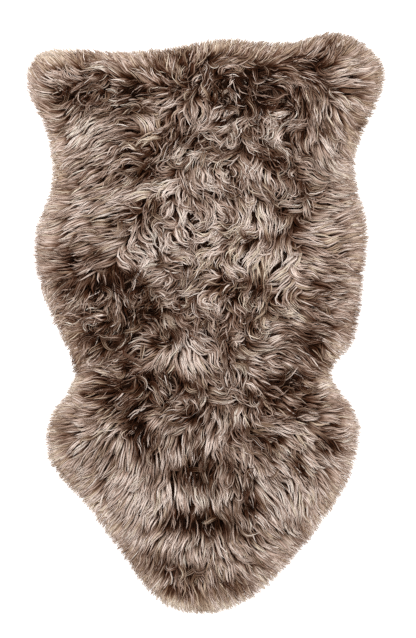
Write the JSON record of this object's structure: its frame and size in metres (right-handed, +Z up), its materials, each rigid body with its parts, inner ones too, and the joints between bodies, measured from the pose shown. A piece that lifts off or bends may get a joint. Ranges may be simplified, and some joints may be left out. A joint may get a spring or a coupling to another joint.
{
  "type": "sheepskin",
  "caption": "Long-wool sheepskin laid flat with the fleece up: a tanned pelt under a deep, lumpy brown fleece whose tapered locks reach past it all round.",
  "frame": {"origin": "centre of the footprint on the floor, under the wool's box", "axes": "+Y from the tapered end to the broad end, +X to the right seen from above with the broad end away, +Z up through the wool"},
  "size_m": [0.675, 1.103, 0.0532],
  "materials": {
    "wool": "long soft wool, dark brown at the root and light taupe at the tip",
    "skin": "matt suede nap of the tanned flesh side"
  },
  "bodies": {
    "root": {"fleece": "wool", "pelt": "skin"}
  },
  "joints": []
}
